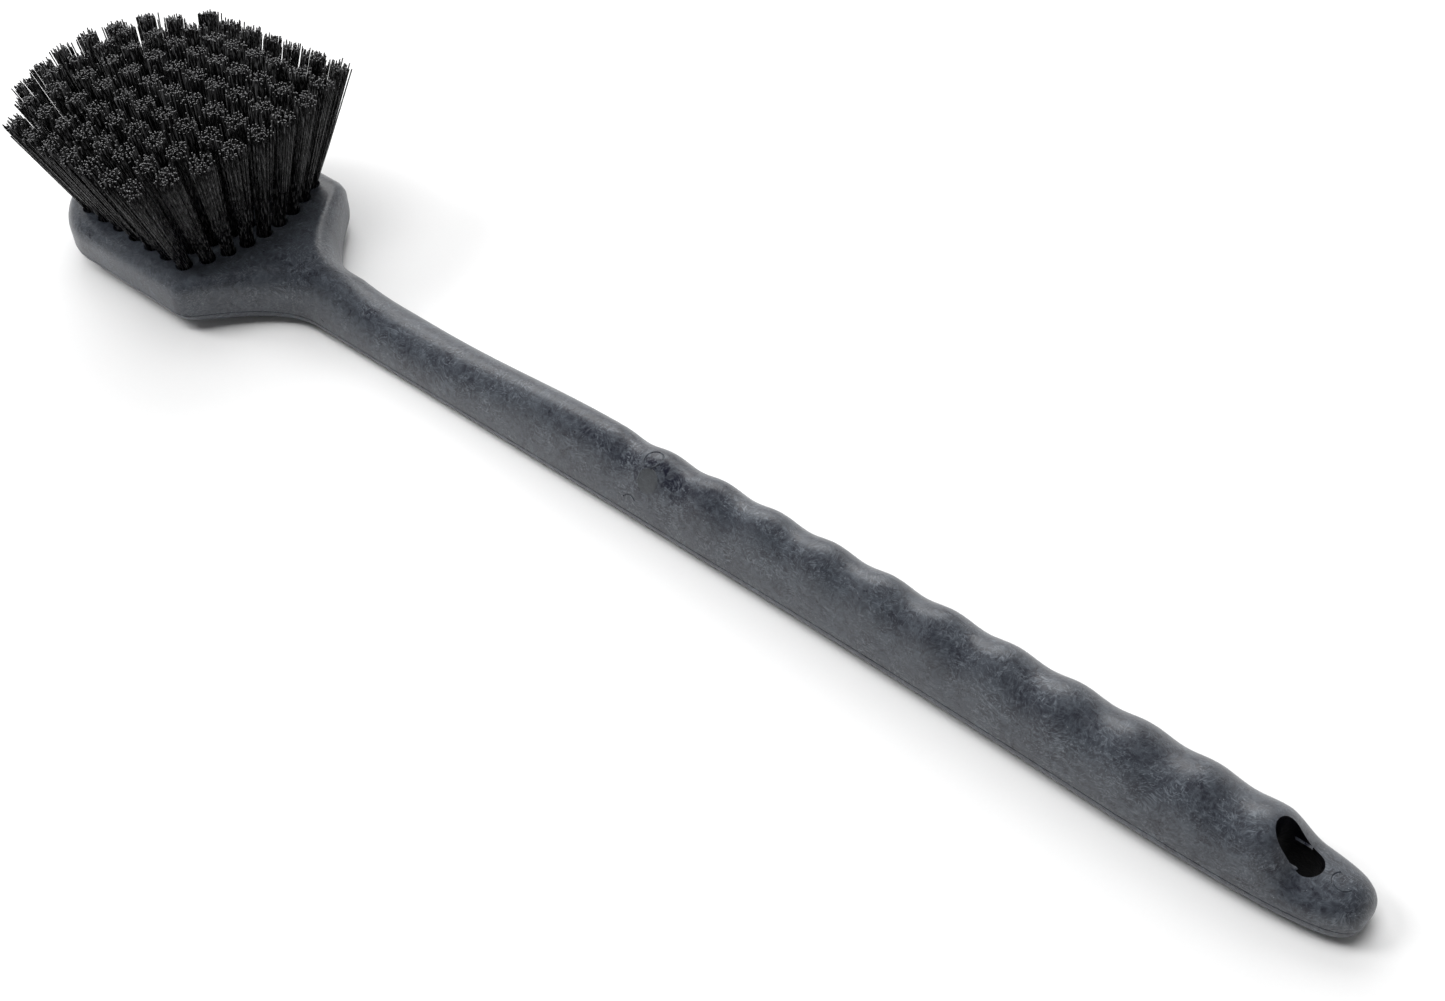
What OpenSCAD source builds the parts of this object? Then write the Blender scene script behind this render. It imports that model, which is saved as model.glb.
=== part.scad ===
// Long handled wheel brush: one moulded block and handle, bundled bristle tufts
// and the flat wire anchors that pin each tuft in its hole.
// X runs along the handle, Z points out of the bristle face, Y is across.
// The origin is on the flat back, under the middle of the bristle block.

/* [Block] */
// Length of the block, from its round far edge to its shoulders
block_l = 82; // [80:1:100]
// Width of the block
block_w = 78.4; // [76:0.4:90]
// Thickness from the flat back to the bristle face
block_t = 20.8; // [20:0.2:26]
// Height of the mould parting line around the block
block_part_h = 8; // [7:0.5:11]
// Rounding of the edge around the bristle face
block_edge_r = 6.8; // [4:0.2:7]

/* [Handle] */
// Length of the moulding, from the far edge of the block to the end of the handle
overall_l = 508; // [480:1:560]
// Length of the shoulders, where the block narrows to the neck
shoulder_l = 36; // [30:1:42]
// Width of the neck
neck_w = 20.4; // [18:0.2:26]
// Thickness of the neck
neck_t = 17.6; // [15:0.1:18]
// Width of the grip at its widest
grip_w = 26; // [24:0.2:32]
// Thickness of the grip over its crests
grip_t = 24.2; // [20:0.1:26]
// Extra thickness in the middle of the grip
grip_crown = 2.4; // [0:0.1:3]
// Thickness of the end tab that holds the hang slot
tab_t = 14.6; // [12:0.2:18]

/* [Finger scallops] */
// Number of scallops along the grip
scallop_n = 11; // [8:1:11]
// Distance from crest to crest
scallop_pitch = 21; // [19:0.1:21.4]
// Depth of each scallop below the crests
scallop_depth = 1.7; // [0.8:0.1:3]

/* [Hang slot] */
// Length of the hang slot
slot_l = 14.8; // [12:0.2:18]
// Width of the hang slot
slot_w = 9.2; // [7:0.2:10]
// Distance from the end of the handle to the middle of the slot
slot_inset = 22.2; // [20:0.2:24]

/* [Bristles] */
// Spacing of the tufts across the block
tuft_pitch_y = 7.16; // [7:0.02:7.4]
// Spacing of the tufts along the block
tuft_pitch_x = 8.5; // [8.2:0.02:8.6]
// How far the end of a row falls back from its middle
row_arch = 8; // [6:0.2:9]
// Diameter of a tuft at the block
tuft_d = 5.3; // [4.6:0.1:5.5]
// Diameter of a tuft at its tips
tuft_tip_d = 8; // [6:0.1:8.2]
// Length of the bristles above the bristle face, in the middle of the block
trim_l = 45; // [38:0.5:56]
// How much shorter each of the first rows is than the row in front of it
trim_fall = 0.96; // [0:0.02:1]
// Spread of the tips across the block, as a ratio of the spread of the holes
flare_y = 1.56; // [1.2:0.02:1.6]
// Spread of the tips along the block, as a ratio of the spread of the holes
flare_x = 1.35; // [1.1:0.01:1.4]
// Distance that the tips of the first row reach past their holes
lead_x = 10.5; // [0:0.1:12]

/* [Holes and anchors] */
// Running gap between a tuft and its hole, on the radius
hole_gap = 0.1; // [0.05:0.05:0.2]
// Depth of a tuft hole
hole_depth = 10; // [9:0.5:11]
// Width of a flat wire anchor
anchor_w = 4.6; // [4:0.1:5]
// Height of a flat wire anchor
anchor_h = 1.8; // [1.4:0.1:2]
// Thickness of a flat wire anchor
anchor_t = 0.5; // [0.3:0.1:0.8]

/* [Hidden] */

slate = [0.30, 0.32, 0.36];
bristle_black = [0.07, 0.07, 0.08];
wire_brass = [0.78, 0.62, 0.30];

// Stations along the handle
far_x = -40;
end_x = far_x + overall_l;
shoulder_x = far_x + block_l;
neck_x = shoulder_x + shoulder_l;
tab_l = 30.3;
last_crest_x = end_x - tab_l;
first_crest_x = last_crest_x - scallop_n * scallop_pitch;
widest_x = end_x - 68;

// Profile constants
far_round = 29;
far_power = 2;
far_edge = 4;
shoulder_power = 1.14;
grip_power = 3.6;
tip_power = 3.6;
tip_nose = 8.6;
web_x = shoulder_x + 12;
crease_x = neck_x + 7;
crease_step = 3;
crease_l = 18;
rise_x = crease_x + 36;
tab_ramp = 12.5;
neck_part_h = 4.6;
grip_part_h = 6.4;
back_flat = 12;
side_land = 1.5;
corner_soft = 3;

// Tuft layout: tufts in each row, and how far the row's ends fall back
row_count = [9, 9, 9, 9, 9, 9, 9, 7, 6, 4];
row_bend = [1, 1, 1, 1, 1, 1, 1, 1, 1, -2.1];
front_row_x = 42.9;
middle_row = 3.5;
half_columns = 4;

// Loft resolution
arc_steps = 8;
grip_step = scallop_pitch / 6;

function ease(t) = (1 - cos(180 * max(0, min(1, t)))) / 2;
function ramp(x, x0, x1) = ease((x - x0) / (x1 - x0));
function mix(a, b, t) = a + (b - a) * t;
function superarc(t, p) = pow(1 - pow(max(0, min(1, t)), p), 1 / p);

// Half width of the outline before its corners are softened
function outline(x) =
    x < shoulder_x
        ? block_w / 2 * superarc((far_x + far_round - x) / far_round, far_power)
        : x < neck_x
            ? neck_w / 2 + (block_w - neck_w) / 2
                * pow(1 - pow((x - shoulder_x) / shoulder_l, shoulder_power), 2.14)
            : (neck_w / 2 + (grip_w - neck_w) / 2
                * pow(min(1, (x - neck_x) / (widest_x - neck_x)), grip_power))
                * superarc((x - widest_x) / (end_x - widest_x), tip_power);

// Half width with the shoulder corners softened
function half_width(x) =
    abs(x - shoulder_x) < 2 * corner_soft
        ? (outline(x - corner_soft) + 2 * outline(x) + outline(x + corner_soft)) / 4
        : outline(x);

// Height of the top over the crests, before the scallops are cut. The web ends in a
// crease across the neck, where the top turns down.
function crest_height(x) =
    x < crease_x ? mix(block_t, neck_t + crease_step, ramp(x, web_x, crease_x))
    : x < rise_x ? neck_t + crease_step * pow(1 - min(1, (x - crease_x) / crease_l), 2)
    : x < first_crest_x ? mix(neck_t, grip_t, ramp(x, rise_x, first_crest_x))
    : x < last_crest_x
        ? grip_t + grip_crown * sin(180 * (x - first_crest_x) / (last_crest_x - first_crest_x))
    : mix(grip_t, tab_t, ramp(x, last_crest_x, last_crest_x + tab_ramp));

// Depth of the scallop below the crests
function scallop(x) =
    x > first_crest_x && x < last_crest_x
        ? scallop_depth * (1 - cos(360 * (x - first_crest_x) / scallop_pitch)) / 2
        : 0;

// Height of the parting line
function part_height(x) =
    x < neck_x
        ? mix(block_part_h, neck_part_h, ramp(x, shoulder_x - 8, neck_x))
        : mix(neck_part_h, grip_part_h, ramp(x, neck_x, widest_x));

// How far the round far edge and the nose of the end pull in the top and back
function far_in(x) = superarc((far_x + far_edge - x) / far_edge, 2);
function nose_in(x) = superarc((x - end_x + tip_nose) / tip_nose, 2);
function pull(x) = min(far_in(x), nose_in(x));

// How much of the section is handle rather than block
function handle_share(x) = ramp(x, shoulder_x, neck_x + 4);

// Closed section of the moulding at x, anticlockwise seen from the handle's end
function section(x) =
    let (
        w = half_width(x),
        share = handle_share(x),
        part = part_height(x),
        top = mix(part + 1, crest_height(x), pull(x)),
        back = part * (1 - pull(x)),
        land = mix(0.5, side_land, share) * pull(x),
        top_w = mix(min(block_edge_r, w * 0.9), w * 0.98, share),
        top_h = (top - part - land) * mix(min(1, block_edge_r / (block_t - block_part_h)), 1, share),
        flat = mix(min(back_flat, w * 0.5), w * 0.3, share),
        back_w = w - flat,
        back_h = (part - back) * mix(1, 0.9, share),
        groove = scallop(x)
    )
    [
        for (side = [1, -1], i = [0 : arc_steps])
            let (a = side > 0 ? 90 * i / arc_steps : 90 - 90 * i / arc_steps, s = sin(a))
            [x, side * (w - top_w * (1 - cos(a))), top - top_h * (1 - s) - groove * s * (2 - s)],
        for (side = [-1, 1], i = [0 : arc_steps])
            let (a = side < 0 ? 90 * i / arc_steps : 90 - 90 * i / arc_steps)
            [x, side * (w - back_w * (1 - cos(a))), back + back_h * (1 - sin(a))]
    ];

// Where the sections stand: close together where the outline turns
stations = [
    for (i = [0 : 11]) far_x + 0.15 + far_round * pow(i / 12, 1.7),
    far_x + far_round,
    shoulder_x - 2 * corner_soft,
    for (x = [shoulder_x - 3 : 3 : neck_x + 3]) x,
    for (i = [0 : 6]) crease_x + 3 * i,
    for (i = [1 : 8]) mix(crease_x + 18, first_crest_x, i / 9),
    for (i = [0 : 6 * scallop_n]) first_crest_x + i * grip_step,
    for (x = [last_crest_x + 3 : 3 : end_x - tip_nose - 1]) x,
    for (i = [0 : 9]) end_x - tip_nose * pow(1 - i / 9.2, 1.6)
];

// Skin over a list of equally long closed rings
module skin(rings) {
    n = len(rings[0]);
    m = len(rings);
    faces = [
        [for (j = [0 : n - 1]) j],
        for (i = [0 : m - 2], j = [0 : n - 1])
            let (a = i * n + j, b = i * n + (j + 1) % n)
            each [[a, a + n, b + n], [a, b + n, b]],
        [for (j = [n - 1 : -1 : 0]) (m - 1) * n + j]
    ];
    polyhedron(points = [for (r = rings) each r], faces = faces, convexity = 6);
}

// Position of tuft k in row r on the bristle face
function tuft_column(r, k) = k - (row_count[r] - 1) / 2;
function tuft_x(r, k) =
    front_row_x - r * tuft_pitch_x
    - row_arch * row_bend[r] * pow(tuft_column(r, k) / half_columns, 2);
function tuft_y(r, k) = tuft_column(r, k) * tuft_pitch_y;

// Direction of that tuft, and its length above the bristle face
function tuft_lean(r, k) = [
    lead_x + (flare_x - 1) * (tuft_x(r, k) - front_row_x),
    (flare_y - 1) * tuft_y(r, k),
    trim_l
];
function tuft_l(r) = trim_l + trim_fall * max(middle_row - r, -1.5);

// Stands the children at a tuft's hole, with their Z along the tuft
module at_tuft(r, k) {
    lean = tuft_lean(r, k);
    tilt = atan2(norm([lean.x, lean.y]), lean.z);
    turn = atan2(lean.y, lean.x);
    translate([tuft_x(r, k), tuft_y(r, k), block_t])
        rotate([0, 0, turn])
            rotate([0, tilt, 0])
                children();
}

// Every blind tuft hole, one cylinder each
module tuft_holes() {
    r = tuft_d / 2 + hole_gap;
    for (row = [0 : len(row_count) - 1], k = [0 : row_count[row] - 1])
        at_tuft(row, k)
            translate([0, 0, -hole_depth])
                cylinder(h = hole_depth + 3, r = r, $fn = 48);
}

// Obround slot through the end tab, with round ends
module hang_slot() {
    half = (slot_l - slot_w) / 2;
    translate([end_x - slot_inset, 0, -1])
        linear_extrude(height = grip_t + 4) {
            square([2 * half, slot_w], center = true);
            for (side = [-1, 1])
                translate([side * half, 0])
                    circle(d = slot_w, $fn = 64);
        }
}

// One moulding: block, neck and scalloped grip
module handle() {
    color(slate)
        difference() {
            skin([for (x = stations) section(x)]);
            tuft_holes();
            hang_slot();
        }
}

// One row of tufts, each a shank in its hole and a cone that spreads to the tips
module tufts(row) {
    shank = hole_depth - anchor_h;
    color(bristle_black)
        for (k = [0 : row_count[row] - 1])
            at_tuft(row, k) {
                translate([0, 0, -shank])
                    cylinder(h = shank, d = tuft_d, $fn = 48);
                cylinder(h = tuft_l(row), d1 = tuft_d, d2 = tuft_tip_d, $fn = 48);
            }
}

// One row of flat wire anchors, across the bottoms of the holes
module anchors(row) {
    color(wire_brass)
        for (k = [0 : row_count[row] - 1])
            at_tuft(row, k)
                translate([-anchor_w / 2, -anchor_t / 2, -hole_depth])
                    cube([anchor_w, anchor_t, anchor_h]);
}

handle();
tufts(0);  // tufts_row_01
tufts(1);  // tufts_row_02
tufts(2);  // tufts_row_03
tufts(3);  // tufts_row_04
tufts(4);  // tufts_row_05
tufts(5);  // tufts_row_06
tufts(6);  // tufts_row_07
tufts(7);  // tufts_row_08
tufts(8);  // tufts_row_09
tufts(9);  // tufts_row_10
anchors(0);  // anchors_row_01
anchors(1);  // anchors_row_02
anchors(2);  // anchors_row_03
anchors(3);  // anchors_row_04
anchors(4);  // anchors_row_05
anchors(5);  // anchors_row_06
anchors(6);  // anchors_row_07
anchors(7);  // anchors_row_08
anchors(8);  // anchors_row_09
anchors(9);  // anchors_row_10
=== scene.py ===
import math
import random

import bpy
import numpy as np
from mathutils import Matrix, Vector


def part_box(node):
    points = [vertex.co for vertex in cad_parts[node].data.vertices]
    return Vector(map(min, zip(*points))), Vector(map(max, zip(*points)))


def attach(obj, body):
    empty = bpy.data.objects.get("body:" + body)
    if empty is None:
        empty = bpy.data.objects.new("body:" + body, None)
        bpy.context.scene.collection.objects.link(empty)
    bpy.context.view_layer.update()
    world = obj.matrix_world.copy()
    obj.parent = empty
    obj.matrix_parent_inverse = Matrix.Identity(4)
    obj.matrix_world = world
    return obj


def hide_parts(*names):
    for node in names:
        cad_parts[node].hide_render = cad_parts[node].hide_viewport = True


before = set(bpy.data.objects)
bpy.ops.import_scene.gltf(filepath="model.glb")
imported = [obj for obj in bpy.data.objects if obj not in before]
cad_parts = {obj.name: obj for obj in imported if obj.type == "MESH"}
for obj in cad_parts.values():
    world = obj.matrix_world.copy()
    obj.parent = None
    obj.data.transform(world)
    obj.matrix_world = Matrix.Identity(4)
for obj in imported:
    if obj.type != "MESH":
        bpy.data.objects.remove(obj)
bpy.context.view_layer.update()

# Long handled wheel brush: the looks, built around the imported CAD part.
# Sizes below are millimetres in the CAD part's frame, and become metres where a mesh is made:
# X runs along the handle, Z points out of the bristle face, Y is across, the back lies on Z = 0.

MM = 0.001

# Driving sizes, read from the frame
HANDLE_LOW, HANDLE_HIGH = (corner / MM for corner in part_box("handle"))
END_X = HANDLE_HIGH.x
FAR_X = END_X - 508.0
BLOCK_W = HANDLE_HIGH.y - HANDLE_LOW.y
BLOCK_T = 20.8
TUFT_NODES = sorted(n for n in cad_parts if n.startswith("tufts_row_"))
ANCHOR_NODES = sorted(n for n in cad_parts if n.startswith("anchors_row_"))

# Shape of the moulding, as in the CAD part
BLOCK_L = 82.0
BLOCK_PART_H = 8.0
BLOCK_EDGE_R = 6.8
NECK_W = 20.4
NECK_T = 17.6
GRIP_W = 26.0
GRIP_T = 24.2
GRIP_CROWN = 2.4
TAB_T = 14.6
SCALLOPS = 11
SCALLOP_PITCH = 21.0
SCALLOP_DEPTH = 1.7
SLOT_L = 14.8
SLOT_W = 9.2
SLOT_X = END_X - 22.2
SHOULDER_X = FAR_X + BLOCK_L
SHOULDER_L = 36.0
NECK_X = SHOULDER_X + SHOULDER_L
LAST_CREST_X = END_X - 30.3
FIRST_CREST_X = LAST_CREST_X - SCALLOPS * SCALLOP_PITCH
WIDEST_X = END_X - 68.0
FAR_ROUND = 29.0
FAR_POWER = 2.0
FAR_EDGE = 4.0
SHOULDER_POWER = 1.14
SHOULDER_OUTER_POWER = 2.14
GRIP_POWER = 3.6
TIP_POWER = 3.6
TIP_NOSE = 8.6
WEB_X = SHOULDER_X + 12.0
CREASE_X = NECK_X + 7.0
CREASE_STEP = 3.0
CREASE_L = 18.0
RISE_X = CREASE_X + 36.0
TAB_RAMP = 12.5
NECK_PART_H = 4.6
GRIP_PART_H = 6.4
BACK_FLAT = 12.0
BLOCK_LAND = 0.5
SIDE_LAND = 1.5
CORNER_SOFT = 3.0
HOLE_R = 2.75
HOLE_DEPTH = 10.0

# Detail of the moulding that the CAD part leaves out; the marks' places are (x, y)
PART_GROOVE_W = 0.35
PART_GROOVE_D = 0.22
SLOT_LIP_W = 0.9
SLOT_LIP_T = 0.3
SLOT_LIP_DEPTH = 1.3
HOLE_EDGE_DROP = 0.35
HOLE_EDGE_RISE = 0.6
HOLE_EDGE_WIDEN = 0.45
MARK_R = 3.0
MARK_WIRE_R = 0.32
MARK_LIFT = 0.03
FIRST_MARK = (226.3, -1.8)
LAST_MARK = (458.8, 0.4)
NICK = (222.3, -18.7)
NICK_R = 9.0
GATE = (227.8, -6.9)
GATE_HALF_L = 3.4
GATE_HALF_W = 2.4
GATE_DEPTH = 0.22

# Filaments; the jitters and strays are shares of the bundle's radius
FILAMENTS = 30
GOLDEN_TURN = 0.618034
FILAMENT_R = 0.25
FILAMENT_SIDES = 5
BUNDLE_MOUTH_R = 2.3
BUNDLE_TIP_R = 3.95
FOLD_H = -0.08
LEG_START_H = 0.3
LEG_HALF_GAP = 0.7
TUFT_SWAY = 0.5
JITTER = 0.07
STRAY = 0.22
STRAY_SHARE = 0.4
TIP_JITTER = 0.09
CUT_UNEVEN = 0.5
SHORT_BY = 2.2
SHORT_SHARE = 0.06


# ---------------------------------------------------------------- profile of the moulding

def ease(t):
    """A smooth step from 0 to 1."""
    return (1 - math.cos(math.pi * min(1.0, max(0.0, t)))) / 2


def ramp(x, start, end):
    return ease((x - start) / (end - start))


def mix(a, b, t):
    return a + (b - a) * t


def superarc(t, power):
    """Falls from 1 to 0 as t goes from 0 to 1, along a superellipse."""
    return (1 - min(1.0, max(0.0, t)) ** power) ** (1 / power)


def outline(x):
    """Half width at x, before the shoulder corners are softened."""
    if x < SHOULDER_X:
        return BLOCK_W / 2 * superarc((FAR_X + FAR_ROUND - x) / FAR_ROUND, FAR_POWER)
    if x < NECK_X:
        t = (x - SHOULDER_X) / SHOULDER_L
        return NECK_W / 2 + (BLOCK_W - NECK_W) / 2 * (1 - t ** SHOULDER_POWER) ** SHOULDER_OUTER_POWER
    t = min(1.0, (x - NECK_X) / (WIDEST_X - NECK_X))
    grip = NECK_W / 2 + (GRIP_W - NECK_W) / 2 * t ** GRIP_POWER
    return grip * superarc((x - WIDEST_X) / (END_X - WIDEST_X), TIP_POWER)


def half_width(x):
    if abs(x - SHOULDER_X) < 2 * CORNER_SOFT:
        return (outline(x - CORNER_SOFT) + 2 * outline(x) + outline(x + CORNER_SOFT)) / 4
    return outline(x)


def crest_height(x):
    """Height of the top over the crests, before the scallops are cut."""
    if x < CREASE_X:
        return mix(BLOCK_T, NECK_T + CREASE_STEP, ramp(x, WEB_X, CREASE_X))
    if x < RISE_X:
        return NECK_T + CREASE_STEP * (1 - min(1.0, (x - CREASE_X) / CREASE_L)) ** 2
    if x < FIRST_CREST_X:
        return mix(NECK_T, GRIP_T, ramp(x, RISE_X, FIRST_CREST_X))
    if x < LAST_CREST_X:
        along = (x - FIRST_CREST_X) / (LAST_CREST_X - FIRST_CREST_X)
        return GRIP_T + GRIP_CROWN * math.sin(math.pi * along)
    return mix(GRIP_T, TAB_T, ramp(x, LAST_CREST_X, LAST_CREST_X + TAB_RAMP))


def scallop(x):
    """Depth of the finger scallop below the crests."""
    if not FIRST_CREST_X < x < LAST_CREST_X:
        return 0.0
    turns = (x - FIRST_CREST_X) / SCALLOP_PITCH
    return SCALLOP_DEPTH * (1 - math.cos(2 * math.pi * turns)) / 2


def part_height(x):
    """Height of the parting line."""
    if x < NECK_X:
        return mix(BLOCK_PART_H, NECK_PART_H, ramp(x, SHOULDER_X - 8, NECK_X))
    return mix(NECK_PART_H, GRIP_PART_H, ramp(x, NECK_X, WIDEST_X))


def pull(x):
    """1 along the part, falling to 0 at the far edge and at the nose."""
    far = superarc((FAR_X + FAR_EDGE - x) / FAR_EDGE, 2)
    nose = superarc((x - END_X + TIP_NOSE) / TIP_NOSE, 2)
    return min(far, nose)


def handle_share(x):
    """0 in the block, 1 in the handle."""
    return ramp(x, SHOULDER_X, NECK_X + 4)


class Section:
    """The sizes of the cross-section at x."""

    def __init__(self, x):
        share = handle_share(x)
        self.share = share
        self.w = half_width(x)
        self.part = part_height(x)
        self.pull = pull(x)
        self.top = mix(self.part + 1, crest_height(x), self.pull)
        self.back = self.part * (1 - self.pull)
        self.land = mix(BLOCK_LAND, SIDE_LAND, share) * self.pull
        self.top_w = mix(min(BLOCK_EDGE_R, self.w * 0.9), self.w * 0.98, share)
        rise = self.top - self.part - self.land
        self.top_h = rise * mix(min(1.0, BLOCK_EDGE_R / (BLOCK_T - BLOCK_PART_H)), 1, share)
        self.flat = mix(min(BACK_FLAT, self.w * 0.5), self.w * 0.3, share)
        self.groove = scallop(x)

    def height(self, y):
        """Height of the top surface at y."""
        inward = (self.w - abs(y)) / self.top_w
        if inward >= 1:
            return self.top - self.groove
        c = 1 - max(0.0, inward)
        s = math.sqrt(max(0.0, 1 - c * c))
        return self.top - self.top_h * (1 - s) - self.groove * s * (2 - s)


def top_height(x, y):
    """Height of the top surface at any place."""
    return Section(x).height(y)


def half_ring(x, arc_points=12, edge_points=11, flat_points=7):
    """One side of the section, from the middle of the back up to the middle of the top."""
    s = Section(x)
    gap = PART_GROOVE_W / 2 * s.pull
    depth = min(PART_GROOVE_D, s.w * 0.3) * s.pull
    back_h = (s.part - gap - s.back) * mix(1, 0.9, s.share)
    points = [(0.0, s.back), (s.flat / 2, s.back)]
    for i in range(arc_points):
        a = math.pi / 2 * i / (arc_points - 1)
        points.append((s.flat + (s.w - s.flat) * math.sin(a), s.back + back_h * (1 - math.cos(a))))
    points.append((s.w, s.part - gap))
    points.append((s.w - depth, s.part))
    points.append((s.w, s.part + gap))
    top_points = edge_points + flat_points
    for i in range(top_points):
        if i < edge_points:
            in_block = s.w - s.top_w * (1 - math.cos(math.pi / 2 * i / (edge_points - 1)))
        else:
            in_block = (s.w - s.top_w) * (1 - (i - edge_points + 1) / flat_points)
        in_handle = s.w * math.cos(math.pi / 2 * i / (top_points - 1))
        y = max(0.0, mix(in_block, in_handle, s.share))
        points.append((y, s.height(y)))
    return points


def stations():
    """Where the sections stand: close together where the shape turns."""
    far = [FAR_X + 0.02 + (FAR_ROUND - 0.02) * (i / 40) ** 1.8 for i in range(41)]
    block = list(np.linspace(FAR_X + FAR_ROUND, SHOULDER_X - 2 * CORNER_SOFT, 14))[1:]
    web = list(np.arange(block[-1] + 1, CREASE_X - 1, 1.0))
    crease = [CREASE_X + step for step in (-0.5, 0, 0.4, 1, 2, 3, 4.5, 6, 8, 10, 13, 15.5, 18)]
    neck = list(np.linspace(CREASE_X + 20, FIRST_CREST_X - 2, 60))
    grip = list(np.linspace(FIRST_CREST_X, LAST_CREST_X, 20 * SCALLOPS + 1))
    tab = list(np.arange(LAST_CREST_X + 1, END_X - TIP_NOSE, 1.0))
    nose = [END_X - TIP_NOSE * (1 - i / 24.2) ** 1.7 for i in range(25)]
    return far + block + web + crease + neck + grip + tab + nose


# ---------------------------------------------------------------- mesh helpers

def new_object(name, verts, faces):
    """A smooth shaded object in metres, from points in millimetres."""
    mesh = bpy.data.meshes.new(name)
    mesh.from_pydata([tuple(c * MM for c in v) for v in verts], [], faces)
    mesh.polygons.foreach_set("use_smooth", [True] * len(mesh.polygons))
    obj = bpy.data.objects.new(name, mesh)
    bpy.context.scene.collection.objects.link(obj)
    return obj


def loft(rings):
    """Verts and faces of a closed skin over equally long closed rings."""
    n = len(rings[0])
    verts = [p for ring in rings for p in ring]
    faces = []
    for i in range(len(rings) - 1):
        for j in range(n):
            a = i * n + j
            b = i * n + (j + 1) % n
            faces.append((a, b, b + n, a + n))
    faces.append(tuple(reversed(range(n))))
    faces.append(tuple(range((len(rings) - 1) * n, len(rings) * n)))
    return verts, faces


class Parts:
    """Gathers closed solids into one mesh."""

    def __init__(self):
        self.verts = []
        self.faces = []

    def add(self, verts, faces):
        start = len(self.verts)
        self.verts += [tuple(v) for v in verts]
        self.faces += [tuple(start + i for i in f) for f in faces]

    def tube(self, path, radius, sides=10):
        """A closed tube along a path of points."""
        rings = []
        for i, p in enumerate(path):
            ahead = Vector(path[min(i + 1, len(path) - 1)]) - Vector(path[max(i - 1, 0)])
            ahead.normalize()
            side = ahead.cross(Vector((0, 0, 1))).normalized()
            up = side.cross(ahead)
            turns = [2 * math.pi * k / sides for k in range(sides)]
            rings.append([Vector(p) + radius * (math.cos(t) * side - math.sin(t) * up) for t in turns])
        self.add(*loft(rings))


# ---------------------------------------------------------------- the moulding

def tuft_axes(node):
    """(bottom, mouth, tip) of every tuft in a CAD row, in millimetres."""
    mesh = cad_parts[node].data
    points = np.array([v.co for v in mesh.vertices]) / MM
    keys = {}
    same = [keys.setdefault(tuple(np.round(p, 3)), i) for i, p in enumerate(points)]
    group = {i: i for i in set(same)}

    def root(i):
        while group[i] != i:
            i = group[i]
        return i

    for face in mesh.polygons:
        first = root(same[face.vertices[0]])
        for v in face.vertices[1:]:
            group[root(same[v])] = first
    islands = {}
    for i in group:
        islands.setdefault(root(i), []).append(points[i])
    axes = []
    for island in islands.values():
        island = np.array(island)
        middle = island.mean(0)
        along = np.linalg.svd(island - middle, full_matrices=False)[2][0]
        along = along * np.sign(along[2])
        reach = (island - middle) @ along
        bottom = island[reach < reach.min() + 0.1].mean(0)
        tip = island[reach > reach.max() - 0.1].mean(0)
        step = (BLOCK_T - bottom[2]) / (tip[2] - bottom[2])
        axes.append((Vector(bottom), Vector(bottom + (tip - bottom) * step), Vector(tip)))
    return sorted(axes, key=lambda axis: axis[1].y)


def hole_cutter(parts, bottom, mouth, tip):
    """One blind tuft hole, with a slightly broken edge."""
    along = (tip - bottom).normalized()
    side = along.cross(Vector((0, 1, 0))).normalized()
    other = along.cross(side)
    wide = HOLE_R + HOLE_EDGE_WIDEN
    profile = [(-HOLE_DEPTH, HOLE_R), (-HOLE_EDGE_DROP, HOLE_R), (HOLE_EDGE_RISE, wide), (4.0, wide)]
    turns = [2 * math.pi * k / 32 for k in range(32)]
    rings = []
    for h, r in profile:
        rings.append([mouth + h * along + r * (math.cos(t) * side + math.sin(t) * other) for t in turns])
    parts.add(*loft(rings))


def slot_cutter(parts):
    """The hang slot, with a thin lip left along each straight side."""
    half = (SLOT_L - SLOT_W) / 2
    lip_top = top_height(SLOT_X, SLOT_W / 2) - SLOT_LIP_DEPTH
    levels = [(-2.0, 0.0), (lip_top - SLOT_LIP_T, 0.0), (lip_top - SLOT_LIP_T, SLOT_LIP_W),
              (lip_top, SLOT_LIP_W), (lip_top, 0.0), (BLOCK_T + 4, 0.0)]
    rings = []
    for z, inset in levels:
        ring = []
        for sign in (1, -1):
            for k in range(25):
                a = sign * math.pi / 2 - math.pi * k / 24
                at_straight = 1 if abs(math.sin(a)) > 0.999 else 0
                x = SLOT_X + sign * half + SLOT_W / 2 * math.cos(a)
                y = SLOT_W / 2 * math.sin(a)
                ring.append((x, y - math.copysign(inset, y) * at_straight, z))
        rings.append(ring[::-1])
    parts.add(*loft(rings))


def mark_cutter(parts, centre, start, end, radius=MARK_R):
    """A shallow ring groove left by a mould pin, over an arc in degrees."""
    steps = max(8, int((end - start) / 10))
    path = []
    for i in range(steps + 1):
        a = math.radians(mix(start, end, i / steps))
        x = centre[0] + radius * math.cos(a)
        y = centre[1] + radius * math.sin(a)
        path.append((x, y, top_height(x, y) + MARK_LIFT))
    parts.tube(path, MARK_WIRE_R, 8)


def gate_cutter(parts):
    """The shallow oval left where the gate was trimmed."""
    x0, y0 = GATE
    rings = []
    for depth, share in ((-GATE_DEPTH, 0.9), (-0.1, 1.0), (1.2, 1.05)):
        ring = []
        for k in range(32):
            t = 2 * math.pi * k / 32
            x = x0 + GATE_HALF_L * share * math.cos(t)
            y = y0 + GATE_HALF_W * share * math.sin(t)
            ring.append((x, y, top_height(x, y) + depth))
        rings.append(ring)
    parts.add(*loft(rings))


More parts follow.
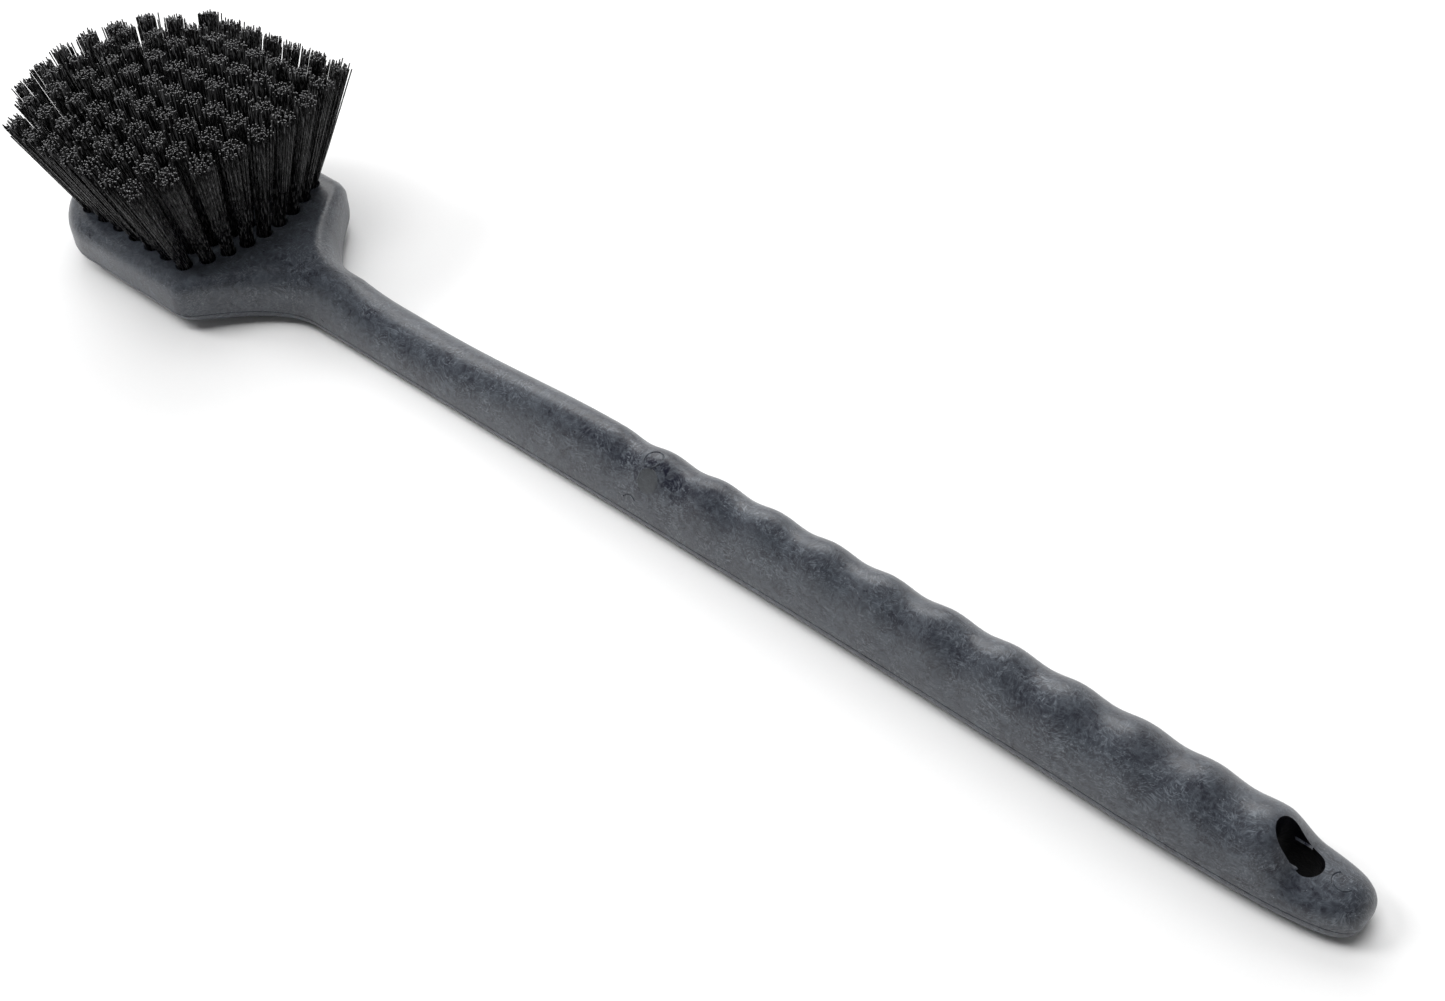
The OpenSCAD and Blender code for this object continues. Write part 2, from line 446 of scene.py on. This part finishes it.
def cut(obj, cutter):
    """Takes the cutter out of the object, and removes the cutter."""
    bpy.context.view_layer.objects.active = obj
    modifier = obj.modifiers.new("cut", "BOOLEAN")
    modifier.operation = "DIFFERENCE"
    modifier.solver = "MANIFOLD"
    modifier.object = cutter
    depsgraph = bpy.context.evaluated_depsgraph_get()
    mesh = bpy.data.meshes.new_from_object(obj.evaluated_get(depsgraph))
    obj.modifiers.clear()
    obj.data = mesh
    bpy.data.objects.remove(cutter)


def make_moulding(axes):
    """Block and handle in one skin, with its holes, slot and marks cut out."""
    rings = []
    for x in stations():
        half = half_ring(x)
        right = [(x, y, z) for y, z in half]
        left = [(x, -y, z) for y, z in half[-2:0:-1]]
        rings.append(right + left)
    obj = new_object("moulding", *loft(rings))
    cutters = Parts()
    for axis in axes:
        hole_cutter(cutters, *axis)
    slot_cutter(cutters)
    mark_cutter(cutters, FIRST_MARK, 20, 355)
    mark_cutter(cutters, LAST_MARK, 130, 340)
    mark_cutter(cutters, NICK, 75, 105, NICK_R)
    gate_cutter(cutters)
    cut(obj, new_object("cutters", cutters.verts, cutters.faces))
    obj.data.polygons.foreach_set("use_smooth", [True] * len(obj.data.polygons))
    obj.data.set_sharp_from_angle(angle=math.radians(34))
    return obj


# ---------------------------------------------------------------- the bristles

def tuft_frame(bottom, tip):
    """Unit vectors of a tuft: along its wire anchor, across it, and up the tuft."""
    up = (tip - bottom).normalized()
    turn = math.atan2(up.y, up.x)
    across = Vector((-math.sin(turn), math.cos(turn), 0))
    return np.array(across.cross(up)), np.array(across), np.array(up)


def filament_leg(place, sign, heights, bend, rng):
    """Half a filament in the tuft's frame, from the fold to the cut end."""
    mouth_h, reach = heights
    u = place[0] + rng.uniform(-JITTER, JITTER)
    v = sign * place[1] + rng.uniform(-JITTER, JITTER)
    stray = 1 + STRAY * rng.gauss(0, 1) * (rng.random() < STRAY_SHARE)
    tip_u = u * stray + rng.gauss(0, TIP_JITTER)
    tip_v = v * stray + rng.gauss(0, TIP_JITTER)
    length = reach + rng.gauss(0, CUT_UNEVEN) - SHORT_BY * (rng.random() < SHORT_SHARE)
    mouth_u = u * BUNDLE_MOUTH_R
    mouth_v = v * BUNDLE_MOUTH_R
    leg = [(0.9 * mouth_u, sign * LEG_HALF_GAP, LEG_START_H)]
    leg.append((mouth_u, mouth_v, mouth_h * 0.75))
    leg.append((mouth_u, mouth_v, mouth_h + 0.8))
    for share in (0.35, 0.68, 1.0):
        sway = bend * share * (1 - share)
        leg_u = mix(mouth_u, tip_u * BUNDLE_TIP_R, share ** 0.9) + sway
        leg_v = mix(mouth_v, tip_v * BUNDLE_TIP_R, share ** 0.9) - sway * 0.5
        leg.append((leg_u, leg_v, mix(mouth_h, length, share)))
    return leg


def filament_paths(axis, rng):
    """Paths of one tuft's folded filaments: tip, hole, fold round the anchor, hole, tip."""
    bottom, mouth, tip = (Vector(p) for p in axis)
    along, across, up = tuft_frame(bottom, tip)
    heights = ((mouth - bottom).length, (tip - bottom).length)
    paths = []
    bend = rng.uniform(-TUFT_SWAY, TUFT_SWAY)
    for i in range(FILAMENTS):
        spread = math.sqrt((i + 0.5) / FILAMENTS)
        turn = math.pi * ((i * GOLDEN_TURN) % 1.0)
        place = (spread * math.cos(turn), spread * math.sin(turn))
        first, second = (filament_leg(place, sign, heights, bend, rng) for sign in (1, -1))
        fold = [(0.85 * place[0] * BUNDLE_MOUTH_R, 0.0, FOLD_H)]
        paths.append(first[::-1] + fold + second)
    local = np.array(paths)
    world = np.array(bottom) + local[..., :1] * along + local[..., 1:2] * across + local[..., 2:] * up
    return world, along


def trim_level(verts, paths, ahead):
    """Slides the end rings along their filaments, so that every cut lies level."""
    for end in (0, -1):
        rise = verts[:, end, :, 2] - paths[:, end, None, 2]
        verts[:, end] -= (rise / ahead[:, end, None, 2])[..., None] * ahead[:, end, None]


def tube_mesh(paths, reference):
    """Verts, side faces and end caps of thin tubes along many equally long paths."""
    ahead = np.gradient(paths, axis=1)
    ahead /= np.linalg.norm(ahead, axis=2, keepdims=True)
    first = reference - (ahead @ reference)[..., None] * ahead
    first /= np.linalg.norm(first, axis=2, keepdims=True)
    second = np.cross(ahead, first)
    turns = 2 * np.pi * np.arange(FILAMENT_SIDES) / FILAMENT_SIDES
    ring = np.cos(turns)[:, None] * first[:, :, None] + np.sin(turns)[:, None] * second[:, :, None]
    verts = paths[:, :, None] + FILAMENT_R * ring
    trim_level(verts, paths, ahead)
    count, length = paths.shape[:2]
    index = np.arange(verts.size // 3).reshape(count, length, FILAMENT_SIDES)
    turned = np.roll(index, -1, axis=2)
    sides = np.stack([index[:, :-1], turned[:, :-1], turned[:, 1:], index[:, 1:]], -1)
    caps = np.concatenate([index[:, 0, ::-1], index[:, -1]])
    return verts.reshape(-1, 3), sides.reshape(-1, 4), caps


def make_bristles(node, axes, rng):
    """One row's tufts, filament by filament."""
    verts = []
    faces = []
    caps = []
    start = 0
    for axis in axes:
        paths, along = filament_paths(axis, rng)
        points, sides, ends = tube_mesh(paths, along)
        verts.append(points)
        faces += (sides + start).tolist()
        caps += (ends + start).tolist()
        start += len(points)
    obj = new_object(node.replace("tufts", "bristles"), np.concatenate(verts).tolist(), faces + caps)
    cap_flags = np.zeros(len(faces) + len(caps), np.int32)
    cap_flags[len(faces):] = 1
    obj.data.polygons.foreach_set("material_index", cap_flags)
    obj.data.polygons.foreach_set("use_smooth", cap_flags == 0)
    return obj


# ---------------------------------------------------------------- materials

# Colours as linear RGB
FOAM_DARK = (0.013, 0.014, 0.022)
FOAM_BASE = (0.034, 0.037, 0.046)
FOAM_MOTTLE = (0.064, 0.074, 0.089)
FOAM_SMEAR = (0.008, 0.009, 0.018)
FOAM_FIBRE = (0.16, 0.18, 0.205)
FOAM_SMOOTH = (0.048, 0.053, 0.058)
FOAM_SPECK = (0.28, 0.30, 0.32)
# Painted shade: the near black of the walls inside the hang slot
SLOT_PAINTED_SHADE = (0.003, 0.003, 0.005)
FILAMENT_BLACK = (0.001, 0.001, 0.0012)
# Painted highlight: the grey of the streaks along the filaments
FILAMENT_PAINTED_HIGHLIGHT = (0.085, 0.085, 0.087)
CUT_END_DARK = (0.07, 0.07, 0.072)
CUT_END_PALE = (0.22, 0.22, 0.225)
BRASS_DARK = (0.55, 0.40, 0.16)
BRASS_PALE = (0.78, 0.62, 0.32)
PAPER_DARK = (0.88, 0.88, 0.88)
PAPER_PALE = (0.90, 0.90, 0.90)

# Where the dark smears lie, and how far they reach, in metres
SMEAR_PLACE = (0.230, -0.004, 0.022)
SMEAR_SIZE = (0.035, 0.02, 0.02)


class Shader:
    """A Principled material and short calls to add nodes to it."""

    def __init__(self, name):
        self.material = bpy.data.materials.new(name)
        self.material.use_nodes = True
        self.tree = self.material.node_tree
        self.surface = self.tree.nodes["Principled BSDF"]
        self.place = self.node("ShaderNodeTexCoord").outputs["Object"]

    def node(self, kind, **inputs):
        node = self.tree.nodes.new(kind)
        for name, value in inputs.items():
            self.feed(node.inputs[name.replace("_", " ")], value)
        return node

    def feed(self, socket, value):
        if isinstance(value, bpy.types.NodeSocket):
            self.tree.links.new(value, socket)
        else:
            socket.default_value = value

    def set(self, name, value):
        self.feed(self.surface.inputs[name], value)

    def noise(self, scale, detail=3.0, roughness=0.5, distortion=0.0, place=None):
        node = self.node("ShaderNodeTexNoise", Scale=scale, Detail=detail, Roughness=roughness,
                         Distortion=distortion)
        self.feed(node.inputs["Vector"], place or self.place)
        return node

    def stretch(self, place, scale):
        node = self.node("ShaderNodeMapping", Scale=scale)
        self.feed(node.inputs["Vector"], place)
        return node.outputs["Vector"]

    def levels(self, value, low, high, new_low=0.0, new_high=1.0):
        node = self.node("ShaderNodeMapRange")
        for socket, v in zip(node.inputs, (value, low, high, new_low, new_high)):
            self.feed(socket, v)
        return node.outputs["Result"]

    def math(self, operation, a, b=0.0):
        node = self.node("ShaderNodeMath")
        node.operation = operation
        self.feed(node.inputs[0], a)
        self.feed(node.inputs[1], b)
        return node.outputs["Value"]

    def blend(self, factor, a, b):
        node = self.node("ShaderNodeMix")
        node.data_type = "RGBA"
        self.feed(node.inputs["Factor"], factor)
        for name, value in (("A", a), ("B", b)):
            socket = next(s for s in node.inputs if s.name == name and s.type == "RGBA")
            self.feed(socket, value if isinstance(value, bpy.types.NodeSocket) else (*value, 1))
        return next(s for s in node.outputs if s.type == "RGBA")

    def bump(self, height, distance, strength=1.0):
        node = self.node("ShaderNodeBump", Strength=strength, Distance=distance, Height=height)
        self.set("Normal", node.outputs["Normal"])


def swirled(shader, amount, scale):
    """The place, pushed about by a slow noise, so that fine grain runs in swirls."""
    push = shader.noise(scale, 2.0)
    centred = shader.node("ShaderNodeVectorMath")
    centred.operation = "SUBTRACT"
    shader.feed(centred.inputs[0], push.outputs["Color"])
    centred.inputs[1].default_value = (0.5, 0.5, 0.5)
    scaled = shader.node("ShaderNodeVectorMath")
    scaled.operation = "MULTIPLY_ADD"
    shader.feed(scaled.inputs[0], centred.outputs["Vector"])
    scaled.inputs[1].default_value = (amount, amount, amount)
    shader.feed(scaled.inputs[2], shader.place)
    return scaled.outputs["Vector"]


def near(shader, centre, size):
    """1 at the centre, falling to 0 at the given size away from it, in metres."""
    offset = shader.node("ShaderNodeVectorMath")
    offset.operation = "SUBTRACT"
    shader.feed(offset.inputs[0], shader.place)
    offset.inputs[1].default_value = centre
    scaled = shader.stretch(offset.outputs["Vector"], tuple(1 / c for c in size))
    length = shader.node("ShaderNodeVectorMath")
    length.operation = "LENGTH"
    shader.feed(length.inputs[0], scaled)
    return shader.levels(length.outputs["Value"], 1.0, 0.2)


def slot_shade(shader):
    """1 on the upright walls inside the hang slot, where painted shade darkens the plastic to nearly
    black.
    """
    facing = shader.node("ShaderNodeTexCoord").outputs["Normal"]
    rise = shader.node("ShaderNodeSeparateXYZ", Vector=facing).outputs["Z"]
    size = (SLOT_L * MM * 0.63, SLOT_W * MM * 0.69, 0.1)
    inside = near(shader, (SLOT_X * MM, 0.0, 0.0), size)
    upright = shader.levels(shader.math("ABSOLUTE", rise), 0.3, 0.15)
    return shader.math("MULTIPLY", shader.levels(inside, 0.1, 0.12), upright)


def foam_colour(s, mottle, weave):
    """Clouds and mottling, with dark smears by the gate and curled pale fibres over them."""
    clouds = s.noise(38.0, 3.0, 0.55, 0.6).outputs["Fac"]
    base = s.blend(s.levels(clouds, 0.36, 0.64), FOAM_DARK, FOAM_BASE)
    mottled = s.blend(s.levels(mottle, 0.38, 0.68), base, FOAM_MOTTLE)
    smear_noise = s.noise(120.0, 2.0, 0.5, 2.5).outputs["Fac"]
    smear = s.math("MULTIPLY", near(s, SMEAR_PLACE, SMEAR_SIZE), s.levels(smear_noise, 0.5, 0.56))
    smeared = s.blend(smear, mottled, FOAM_SMEAR)
    patches = s.levels(s.noise(75.0, 2.0, 0.5, 1.2).outputs["Fac"], 0.42, 0.62, 0.35, 1.0)
    fibre = s.math("MULTIPLY", s.levels(weave, 0.53, 0.74), patches)
    return s.blend(fibre, smeared, FOAM_FIBRE)


def fibre_weave(s):
    """Fine grain in two directions, bent into curls."""
    curled = swirled(s, 0.014, 60.0)
    along = s.noise(1.0, 3.0, 0.6, 0.6, s.stretch(curled, (420.0, 1700.0, 1700.0))).outputs["Fac"]
    across = s.noise(1.0, 3.0, 0.6, 0.6, s.stretch(curled, (1700.0, 420.0, 1700.0))).outputs["Fac"]
    return s.math("MAXIMUM", along, across)


def moulding_material():
    """Dark slate structural foam, smooth at the gate, with pale specks, and painted shade, nearly black,
    on the slot walls.
    """
    s = Shader("slate_structural_foam")
    mottle = s.noise(300.0, 4.0, 0.65, 1.4).outputs["Fac"]
    weave = fibre_weave(s)
    gate = near(s, (GATE[0] * MM, GATE[1] * MM, 0.0198), (0.0046, 0.0036, 0.006))
    smoothed = s.blend(s.levels(gate, 0.1, 0.3, 0.0, 0.8), foam_colour(s, mottle, weave), FOAM_SMOOTH)
    speck = s.node("ShaderNodeTexVoronoi", Scale=330.0, Randomness=1.0)
    s.feed(speck.inputs["Vector"], s.place)
    speckled = s.blend(s.levels(speck.outputs["Distance"], 0.05, 0.025), smoothed, FOAM_SPECK)
    shade = slot_shade(s)
    # Painted shade: the walls inside the slot are darkened to nearly black
    s.set("Base Color", s.blend(shade, speckled, SLOT_PAINTED_SHADE))
    s.set("Roughness", s.levels(mottle, 0.3, 0.75, 0.27, 0.42))
    # Painted shade: the reflection on the slot walls is damped as well
    s.set("Specular IOR Level", s.levels(shade, 0.0, 1.0, 0.5, 0.05))
    s.set("IOR", 1.55)
    s.bump(s.math("ADD", s.math("MULTIPLY", weave, 0.7), mottle), 0.00014, 0.8)
    return s.material


def bristle_material():
    """Black filament, fairly smooth, with grey streaks along it: painted highlights."""
    s = Shader("black_filament")
    streaks = s.noise(1.0, 2.0, 0.6, 0.0, s.stretch(s.place, (1500.0, 1500.0, 60.0))).outputs["Fac"]
    # Painted highlights: grey streaks along the filaments, put into the base colour
    dark = s.blend(s.levels(streaks, 0.50, 0.66), FILAMENT_BLACK, FILAMENT_PAINTED_HIGHLIGHT)
    s.set("Base Color", dark)
    s.set("Roughness", s.levels(streaks, 0.3, 0.7, 0.2, 0.34))
    s.set("IOR", 1.5)
    s.set("Specular IOR Level", 0.24)
    s.bump(streaks, 0.00003, 0.4)
    return s.material


def cut_end_material():
    """The paler cut ends of the filaments."""
    s = Shader("filament_cut_end")
    grain = s.noise(2400.0, 3.0, 0.6).outputs["Fac"]
    s.set("Base Color", s.blend(s.levels(grain, 0.35, 0.65), CUT_END_DARK, CUT_END_PALE))
    s.set("Roughness", s.levels(grain, 0.3, 0.7, 0.55, 0.75))
    s.bump(grain, 0.00005, 0.5)
    return s.material


def anchor_material():
    """Flat brass wire, with draw marks along it."""
    s = Shader("flat_brass_wire")
    drawn = s.noise(1.0, 3.0, 0.6, 0.0, s.stretch(s.place, (300.0, 300.0, 5000.0))).outputs["Fac"]
    s.set("Base Color", s.blend(drawn, BRASS_DARK, BRASS_PALE))
    s.set("Metallic", 1.0)
    s.set("Roughness", s.levels(drawn, 0.3, 0.7, 0.28, 0.45))
    s.bump(drawn, 0.00002, 0.4)
    return s.material


def floor_material():
    """Plain pale paper."""
    s = Shader("pale_paper_floor")
    grain = s.noise(900.0, 3.0).outputs["Fac"]
    s.set("Base Color", s.blend(grain, PAPER_DARK, PAPER_PALE))
    s.set("Roughness", s.levels(grain, 0.3, 0.7, 0.85, 0.95))
    s.set("Specular IOR Level", 0.1)
    return s.material


def dress(obj, *materials):
    """Gives the object these materials, and keeps which face has which."""
    if len(obj.data.materials):
        obj.data.materials.clear()
    for material in materials:
        obj.data.materials.append(material)


# ---------------------------------------------------------------- studio

CAMERA_PLACE = Vector((0.5306, -0.3139, 0.4538))
CAMERA_RIGHT = Vector((0.7647, 0.6439, -0.0253))
CAMERA_DOWN = Vector((0.4489, -0.5605, -0.6960))
FLOOR_HALF = 3.0
FLOOR_CELLS = 12
WHITE_SIDE = (-0.6, 0.7, -0.4)


def make_camera():
    """The camera, set from its place and the directions of its right and down."""
    data = bpy.data.cameras.new("camera")
    data.lens = 50.0
    data.sensor_width = 36.0
    data.sensor_fit = "HORIZONTAL"
    data.clip_start = 0.01
    obj = bpy.data.objects.new("camera", data)
    bpy.context.scene.collection.objects.link(obj)
    right = CAMERA_RIGHT.normalized()
    up = (-CAMERA_DOWN - right * (-CAMERA_DOWN).dot(right)).normalized()
    back = right.cross(up)
    matrix = obj.matrix_world.copy()
    for column, axis in enumerate((right, up, back)):
        for row in range(3):
            matrix[row][column] = axis[row]
    matrix.translation = CAMERA_PLACE
    obj.matrix_world = matrix
    bpy.context.scene.camera = obj


def make_floor():
    """A level grid that the back of the brush lies on."""
    n = FLOOR_CELLS
    grid = np.linspace(-FLOOR_HALF, FLOOR_HALF, n + 1) / MM
    verts = [(x, y, 0.0) for y in grid for x in grid]
    rows = range(n)
    faces = [(r * (n + 1) + c, r * (n + 1) + c + 1, (r + 1) * (n + 1) + c + 1, (r + 1) * (n + 1) + c)
             for r in rows for c in rows]
    floor = new_object("floor", verts, faces)
    dress(floor, floor_material())


def area_light(name, place, target, size, power):
    """A rectangular light that faces its target."""
    data = bpy.data.lights.new(name, "AREA")
    data.shape = "RECTANGLE"
    data.size, data.size_y = size
    data.energy = power
    obj = bpy.data.objects.new(name, data)
    bpy.context.scene.collection.objects.link(obj)
    obj.location = place
    obj.rotation_euler = (Vector(target) - Vector(place)).to_track_quat("-Z", "Y").to_euler()
    return obj


def graded(tree, value, start, end, new_start, new_end):
    """A node that maps value from one range to another, without going past the ends."""
    node = tree.nodes.new("ShaderNodeMapRange")
    tree.links.new(value, node.inputs["Value"])
    node.inputs["From Min"].default_value = start
    node.inputs["From Max"].default_value = end
    node.inputs["To Min"].default_value = new_start
    node.inputs["To Max"].default_value = new_end
    return node.outputs["Result"]


def make_world():
    """White behind on the left, dim low down all round, and dark overhead and in front."""
    world = bpy.data.worlds.new("studio")
    bpy.context.scene.world = world
    world.use_nodes = True
    tree = world.node_tree
    place = tree.nodes.new("ShaderNodeTexCoord").outputs["Generated"]
    facing = tree.nodes.new("ShaderNodeVectorMath")
    facing.operation = "DOT_PRODUCT"
    tree.links.new(place, facing.inputs[0])
    facing.inputs[1].default_value = WHITE_SIDE
    split = tree.nodes.new("ShaderNodeSeparateXYZ")
    tree.links.new(place, split.inputs[0])
    brighter = tree.nodes.new("ShaderNodeMath")
    brighter.operation = "MAXIMUM"
    tree.links.new(graded(tree, facing.outputs["Value"], -0.02, 0.34, 0.05, 1.0), brighter.inputs[0])
    tree.links.new(graded(tree, split.outputs["Z"], 0.25, 0.55, 0.45, 0.0), brighter.inputs[1])
    tree.links.new(brighter.outputs["Value"], tree.nodes["Background"].inputs["Strength"])
    tree.nodes["Background"].inputs["Color"].default_value = (1, 1, 1, 1)


def make_light():
    """Three soft boxes; only the back one shows in reflections."""
    make_world()
    area_light("soft_box_back", (-0.62, 0.86, 1.10), (0.2, 0, 0), (1.3, 0.9), 9)
    key = area_light("soft_box_left", (-1.05, -0.8, 1.5), (0.1, 0, 0), (0.7, 0.7), 19)
    key.visible_glossy = False
    overhead = area_light("overhead", (0.0, -0.2, 2.2), (0.2, 0, 0), (1.4, 1.4), 31)
    overhead.visible_glossy = False
    bpy.context.scene.view_settings.view_transform = "Standard"


# ---------------------------------------------------------------- build

def build():
    axes = {node: tuft_axes(node) for node in TUFT_NODES}
    moulding = make_moulding([axis for row in axes.values() for axis in row])
    dress(moulding, moulding_material())
    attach(moulding, "root")
    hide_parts("handle")
    filament = bristle_material()
    cut_end = cut_end_material()
    rng = random.Random(7)
    for node, row in axes.items():
        bristles = make_bristles(node, row, rng)
        dress(bristles, filament, cut_end)
        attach(bristles, "root")
        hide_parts(node)
    brass = anchor_material()
    for node in ANCHOR_NODES:
        dress(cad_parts[node], brass)


make_camera()
make_floor()
make_light()
build()
